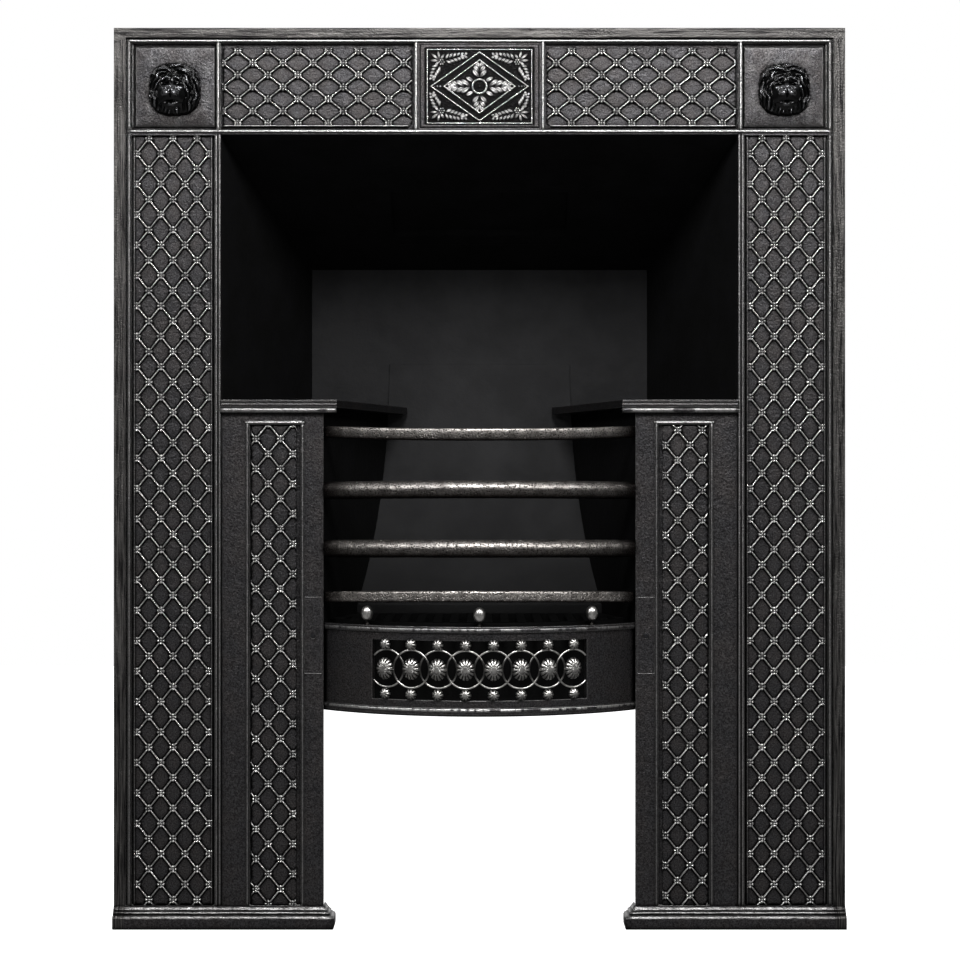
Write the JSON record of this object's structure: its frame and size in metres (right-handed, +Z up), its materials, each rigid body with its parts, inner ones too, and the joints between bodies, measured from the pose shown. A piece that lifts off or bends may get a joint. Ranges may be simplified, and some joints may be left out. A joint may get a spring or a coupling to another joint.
{
  "type": "cast iron hob grate fireplace",
  "caption": "Tall flat-framed hob grate: latticed jambs and header, splayed firebox, bowed bar basket with pierced ash fret, hinged flue flap in the roof.",
  "frame": {"origin": "on the floor, midway across and midway from the bow of the bars to the back of the firebox", "axes": "+X across to the viewer's right, +Y back into the chimney, +Z up"},
  "size_m": [0.784, 0.3194, 0.965],
  "materials": {
    "blackleaded_iron": "blackleaded sand-cast iron, satin, worn grey on the edges",
    "polished_black_iron": "black-leaded and buffed to a gloss",
    "sooted_iron": "sooty matt cast iron",
    "burnished_iron": "burnished, pitted bar iron",
    "polished_steel": "polished steel",
    "plain_iron": "plain blackened iron"
  },
  "bodies": {
    "fireplace": {"header": "blackleaded_iron", "jamb_left": "blackleaded_iron", "jamb_right": "blackleaded_iron", "centre_tablet": "blackleaded_iron", "lion_mask_left": "polished_black_iron", "lion_mask_right": "polished_black_iron", "plinth_left": "blackleaded_iron", "plinth_right": "blackleaded_iron", "hob_front_left": "blackleaded_iron", "hob_front_right": "blackleaded_iron", "hob_patch_left": "blackleaded_iron", "hob_patch_right": "blackleaded_iron", "patch_rivets": "plain_iron", "hob_plate_left": "blackleaded_iron", "hob_plate_right": "blackleaded_iron", "hob_back_left": "sooted_iron", "hob_back_right": "sooted_iron", "basket_cheek_left": "sooted_iron", "basket_cheek_right": "sooted_iron", "cheek_upper_left": "sooted_iron", "cheek_upper_right": "sooted_iron", "fireback_lower": "sooted_iron", "fireback_upper": "sooted_iron", "register_plate": "sooted_iron", "flap_pin": "plain_iron", "top_bar": "burnished_iron", "upper_round_bar": "burnished_iron", "lower_round_bar": "burnished_iron", "low_bar": "burnished_iron", "fret_panel": "blackleaded_iron", "fret_rings": "polished_steel", "fret_bosses_large": "polished_steel", "fret_bosses_small": "polished_steel", "fret_finials": "polished_steel", "header_nuts": "plain_iron", "tablet_nuts": "plain_iron", "mask_nuts": "plain_iron", "cheek_nuts": "plain_iron", "hob_front_nuts": "plain_iron", "hob_plate_nuts": "plain_iron", "fireback_nuts": "plain_iron", "roof_nuts": "plain_iron"},
    "register_flap": {"register_flap": "sooted_iron"},
    "fire_grate": {"fire_grate": "sooted_iron"}
  },
  "joints": [
    {"name": "flap_hinge", "type": "hinge", "parent": "fireplace", "child": "register_flap", "pos_m": [0, 0.0977, 0.77347], "axis": [-1, 0, 0], "range_deg": [0, 77.4]},
    {"name": "grate_lift", "type": "slide", "parent": "fireplace", "child": "fire_grate", "axis": [0, 0, 1], "range_m": [0, 0.15]}
  ]
}
